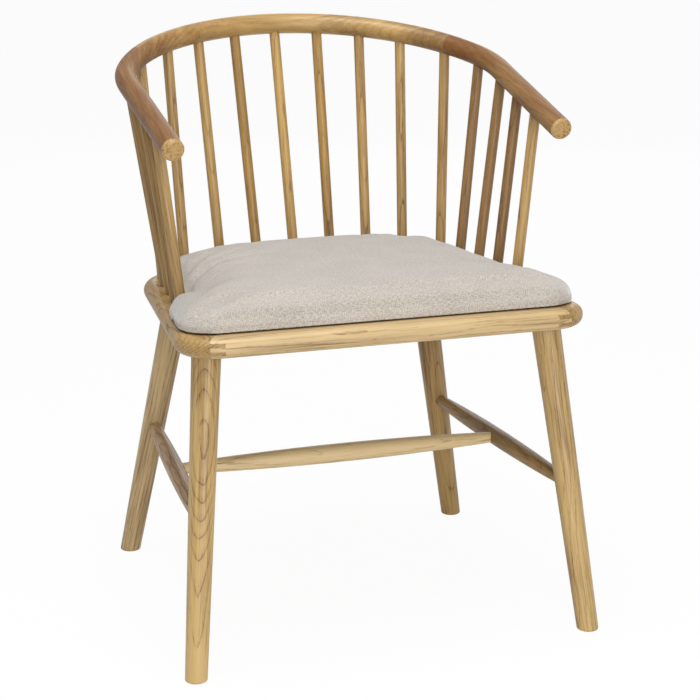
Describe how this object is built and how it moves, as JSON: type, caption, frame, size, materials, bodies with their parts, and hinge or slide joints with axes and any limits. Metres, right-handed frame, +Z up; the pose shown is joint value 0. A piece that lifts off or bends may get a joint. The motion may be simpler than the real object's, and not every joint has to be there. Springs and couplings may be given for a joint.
{
  "type": "spindle chair",
  "caption": "Wooden bow-back spindle armchair with splayed tapered legs, an H stretcher and a fixed upholstered seat pad.",
  "frame": {"origin": "on the floor, under the middle of the chair's bounding box", "axes": "+Z up, -Y towards the front of the chair, +X to the right of a person who looks at its front"},
  "size_m": [0.5522, 0.5802, 0.7473],
  "materials": {
    "wood": "satin",
    "fabric": "matte",
    "foam": "matte",
    "plywood": "matte",
    "dust_cloth": "matte",
    "screw_steel": "satin"
  },
  "bodies": {
    "root": {"seat_front_rail": "wood", "seat_back_rail": "wood", "seat_left_rail": "wood", "seat_right_rail": "wood", "bow_crest": "wood", "bow_left_arm": "wood", "bow_right_arm": "wood", "front_left_leg": "wood", "front_right_leg": "wood", "back_left_leg": "wood", "back_right_leg": "wood", "left_side_stretcher": "wood", "right_side_stretcher": "wood", "cross_stretcher": "wood", "spindle_01": "wood", "spindle_02": "wood", "spindle_03": "wood", "spindle_04": "wood", "spindle_05": "wood", "spindle_06": "wood", "spindle_07": "wood", "spindle_08": "wood", "spindle_09": "wood", "spindle_10": "wood", "spindle_11": "wood", "spindle_12": "wood", "spindle_13": "wood", "spindle_14": "wood", "spindle_15": "wood", "spindle_16": "wood", "spindle_17": "wood", "cushion_cover": "fabric", "cushion_foam": "foam", "cushion_board": "plywood", "dust_cover": "dust_cloth", "pad_screws": "screw_steel"}
  },
  "joints": []
}
